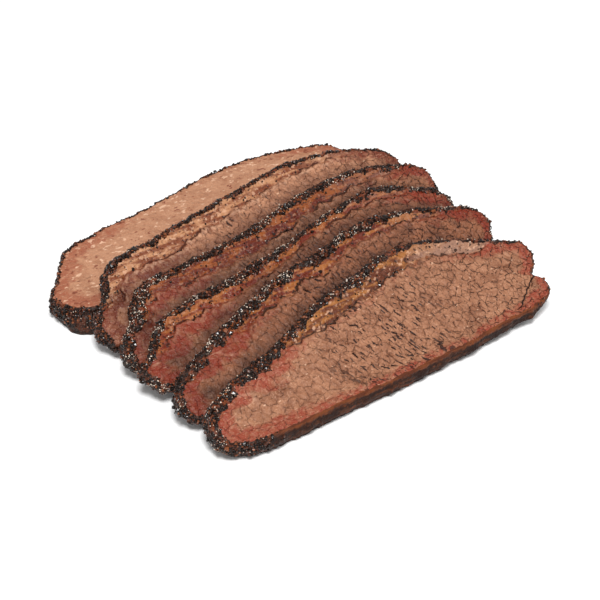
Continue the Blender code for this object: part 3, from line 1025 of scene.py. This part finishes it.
def grain_shape(chance):
    """One faceted ball, squeezed and knocked out of round, as its corners and faces."""
    ball = bmesh.new()
    squeeze = Matrix.Diagonal((1.0, chance.uniform(0.6, 1.0), chance.uniform(0.45, 0.9), 1.0))
    bmesh.ops.create_icosphere(ball, subdivisions=1, radius=1.0, matrix=squeeze)
    for vert in ball.verts:
        vert.co *= chance.uniform(0.62, 1.30)
    corners = [vert.co.copy() for vert in ball.verts]
    faces = [[vert.index for vert in face.verts] for face in ball.faces]
    ball.free()
    return corners, faces


shape_chance = random.Random(7)
GRAIN_SHAPES = [grain_shape(shape_chance) for _ in range(GRAIN_KINDS)]


def pepper_material(name, shade, roughness):
    return Paint(name).finish(Base_Color=shade, Roughness=roughness, Specular_IOR_Level=PEPPER_SPECULAR)


PEPPER_FINISHES = (
    pepper_material("pepper_black", colour(24, 12, 7), 0.20),
    pepper_material("pepper_brown", colour(74, 37, 21), 0.32),
    pepper_material("pepper_husk", colour(122, 66, 34), 0.38),
    pepper_material("pepper_pale", colour(214, 196, 178), 0.30),
)

# Black, brown and husk grains, as running shares. Pale grains are picked apart, because they lie in drifts.
DARK_SHARES = (0.62, 0.80, 0.90)
PALE_SIZE = 0.55
PALE_PER_SLICE = {"front": 0.14, "second": 0.20, "third": 0.20, "fourth": 0.24, "fifth": 0.07, "back": 0.04}
CLOD_SHARE = 0.07
CLOD_SIZE = 1.6 * MM
HIGHEST = cad_box[1][2] + 1.2 * MM
print(len(GRAIN_SHAPES), "shapes of grain,", len(PEPPER_FINISHES), "finishes")


# %% Grains on the bark
LEAST_PEPPER = 0.02
DRIFT_SIZE = 8 * MM


def weighted_faces(piece, seed):
    """Faces that carry pepper, in the order of their vertices, with running totals of area times pepper."""
    mesh = piece.data
    bark = mesh.attributes["bark"].data
    faces = []
    totals = []
    total = 0.0
    for face in sorted(mesh.polygons, key=lambda one: sorted(one.vertices)):
        density = bark[min(face.vertices)].vector[0]
        if density > LEAST_PEPPER:
            patch = smoothstep(-0.45, 0.25, lumps(face.center, 5 * MM, seed) + density - 0.8)
            total += face.area * density * mix(0.12, 1.0, patch)
            faces.append(face.index)
            totals.append(total)
    return faces, totals


def pale_patch(place, seed):
    """Pale bits lie in drifts, 0 between them and 2.4 in them."""
    return 2.4 * smoothstep(-0.25, 0.55, lumps(place, DRIFT_SIZE, seed + 40))


def set_grain(chance, face, slab):
    """Corners, faces and finish of one grain on a face of the bark."""
    size = mix(*PEPPER_SIZE, chance.random() ** 1.6)
    pick = bisect.bisect_left(DARK_SHARES, chance.random() * DARK_SHARES[-1])
    rise = chance.uniform(0.1, 0.6) * size
    if chance.random() < CLOD_SHARE:
        size = CLOD_SIZE * chance.uniform(0.6, 1.0)
        rise = 0.1 * size
    elif chance.random() < PALE_PER_SLICE[slab.name] * pale_patch(face.center, slab.seed):
        pick = len(PEPPER_FINISHES) - 1
        rise = 0.8 * size
        size *= PALE_SIZE
    place = face.center + face.normal * rise
    axis = Vector((chance.uniform(-1, 1), chance.uniform(-1, 1), chance.uniform(-1, 1)))
    turn = Matrix.Rotation(chance.uniform(0.0, math.tau), 3, axis)
    shape, shape_faces = GRAIN_SHAPES[chance.randrange(GRAIN_KINDS)]
    return [place + turn @ corner * size for corner in shape], shape_faces, pick


def scatter_pepper(piece, slab):
    """One mesh of all the grains on a slice."""
    chance = random.Random(int(slab.seed))
    faces, totals = weighted_faces(piece, slab.seed)
    corners = []
    sides = []
    finishes = []
    for _ in range(int(min(GRAINS_PER_SLICE, totals[-1] / PEPPER_SPACING ** 2))):
        face = piece.data.polygons[faces[bisect.bisect_left(totals, chance.random() * totals[-1])]]
        grain, grain_faces, pick = set_grain(chance, face, slab)
        first = len(corners)
        corners += grain
        sides += [[first + k for k in side] for side in grain_faces]
        finishes += [pick] * len(grain_faces)
    for corner in corners:
        corner.z = min(max(corner.z, 0.0), HIGHEST)
    mesh = bpy.data.meshes.new(slab.name + "_pepper")
    mesh.from_pydata(corners, [], sides)
    for material in PEPPER_FINISHES:
        mesh.materials.append(material)
    mesh.polygons.foreach_set("material_index", finishes)
    grains = bpy.data.objects.new(slab.name + "_pepper", mesh)
    bpy.context.scene.collection.objects.link(grains)
    return grains


for piece, slab in zip(slices, SLICES):
    grains = scatter_pepper(piece, slab)
    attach(grains, "root")
    print(grains.name, len(grains.data.polygons), "faces")

# %% [markdown]
# ## Floor, light and camera
#
# The stack lies on a plain pale floor, seen from in front, a little to the left and from well above, as
# on a shop's page. One square light would do, but its shadows would be black. So a key light draws the
# relief, and a large fill and a white sky lift the shadows.

# %% Floor
FLOOR_REACH = 3.0
FLOOR_COLOUR = (0.95, 0.95, 0.95, 1.0)
ground = bmesh.new()
bmesh.ops.create_grid(ground, x_segments=1, y_segments=1, size=FLOOR_REACH)
ground_mesh = bpy.data.meshes.new("floor")
ground.to_mesh(ground_mesh)
ground.free()
ground_mesh.materials.append(Paint("floor_finish").finish(Base_Color=FLOOR_COLOUR, Roughness=0.9))
floor = bpy.data.objects.new("floor", ground_mesh)
bpy.context.scene.collection.objects.link(floor)
print("floor", FLOOR_REACH * 2, "m across")


# %% Lights
STACK_MIDDLE = (0.0, 0.0, 0.02)
WORLD_STRENGTH = 0.50


def soft_light(name, place, aim, size, power):
    """A square area light turned to a point."""
    lamp = bpy.data.lights.new(name, "AREA")
    lamp.shape = "SQUARE"
    lamp.size = size
    lamp.energy = power
    light = bpy.data.objects.new(name, lamp)
    bpy.context.scene.collection.objects.link(light)
    light.location = place
    light.rotation_mode = "QUATERNION"
    light.rotation_quaternion = (Vector(place) - Vector(aim)).to_track_quat("Z", "Y")


soft_light("key", (-0.35, -0.55, 1.4), STACK_MIDDLE, 0.42, 22.5)
soft_light("fill", (0.9, -0.5, 1.0), STACK_MIDDLE, 1.0, 4.0)
world = bpy.data.worlds.new("studio")
world.use_nodes = True
world.node_tree.nodes["Background"].inputs["Color"].default_value = (1.0, 1.0, 1.0, 1.0)
world.node_tree.nodes["Background"].inputs["Strength"].default_value = WORLD_STRENGTH
bpy.context.scene.world = world
bpy.context.scene.view_settings.view_transform = "Standard"
print(len(bpy.data.lights), "lights")

# %% Camera
VIEW_TURN = math.radians(-32.7)
VIEW_RISE = math.radians(40.0)
VIEW_DISTANCE = 0.9
VIEW_LENS = 94.5
VIEW_SENSOR = 36.0
VIEW_TARGET = Vector((-0.0055, -0.0283, 0.0159))
back = Vector((
    math.sin(VIEW_TURN) * math.cos(VIEW_RISE),
    -math.cos(VIEW_TURN) * math.cos(VIEW_RISE),
    math.sin(VIEW_RISE),
))
lens = bpy.data.cameras.new("camera")
lens.lens = VIEW_LENS
lens.sensor_width = VIEW_SENSOR
camera = bpy.data.objects.new("camera", lens)
bpy.context.scene.collection.objects.link(camera)
camera.location = VIEW_TARGET + back * VIEW_DISTANCE
camera.rotation_mode = "QUATERNION"
camera.rotation_quaternion = (-back).to_track_quat("-Z", "Y")
bpy.context.scene.camera = camera
print("camera at", [round(value, 3) for value in camera.location])
